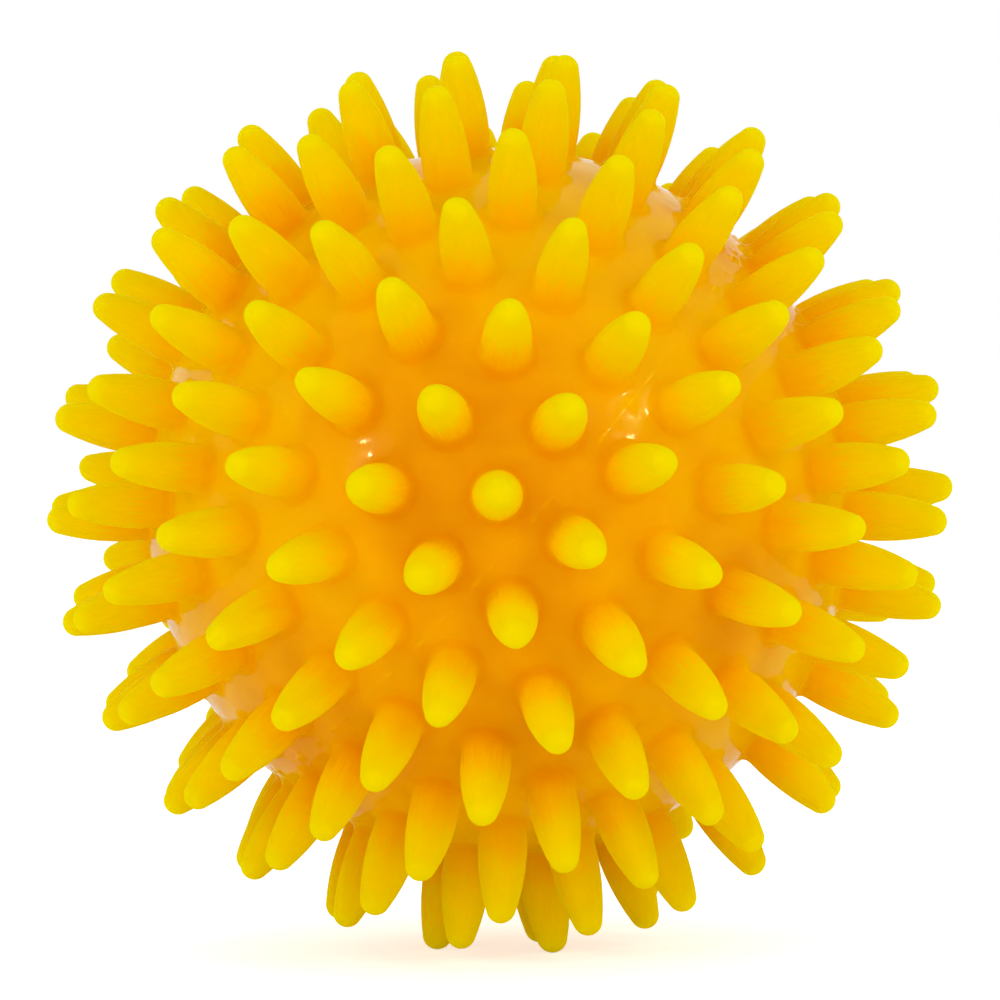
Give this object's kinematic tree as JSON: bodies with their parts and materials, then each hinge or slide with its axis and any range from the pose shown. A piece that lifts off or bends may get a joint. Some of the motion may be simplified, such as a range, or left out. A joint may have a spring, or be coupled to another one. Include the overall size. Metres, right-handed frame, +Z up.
{
  "type": "sensory ball",
  "caption": "Hollow translucent soft vinyl ball covered in rows of round-ended spikes, with an air valve and pull-out stopper; a tactile toy to grip, squeeze and roll.",
  "frame": {"origin": "centre of the round skin", "axes": "+Z up as the ball stands on three spike tips, the pictured side faces -Y, the air valve is at the back, towards +Y; the mould's parting plane leans, its normal is (-0.739, -0.078, 0.669)"},
  "size_m": [0.0998, 0.0998, 0.0993],
  "materials": {
    "skin_vinyl": "glossy translucent soft vinyl",
    "spike_vinyl": "satin translucent soft vinyl",
    "valve_rubber": "satin soft vinyl",
    "stopper_plastic": "satin moulded plastic"
  },
  "bodies": {
    "ball": {"skin": "skin_vinyl", "upper_spikes_row1": "spike_vinyl", "upper_spikes_row2": "spike_vinyl", "upper_spikes_row3": "spike_vinyl", "upper_spikes_row4": "spike_vinyl", "upper_spikes_row5": "spike_vinyl", "upper_spikes_row6": "spike_vinyl", "upper_spike_pole": "spike_vinyl", "lower_spikes_row1": "spike_vinyl", "lower_spikes_row2": "spike_vinyl", "lower_spikes_row3": "spike_vinyl", "lower_spikes_row4": "spike_vinyl", "lower_spikes_row5": "spike_vinyl", "lower_spikes_row6": "spike_vinyl", "lower_spike_pole": "spike_vinyl", "valve_seat": "valve_rubber"},
    "stopper": {"valve_stopper": "stopper_plastic"}
  },
  "joints": [
    {"name": "stopper_pull", "type": "slide", "parent": "ball", "child": "stopper", "axis": [0.2297, 0.9629, -0.142], "range_m": [0, 0.02]}
  ]
}
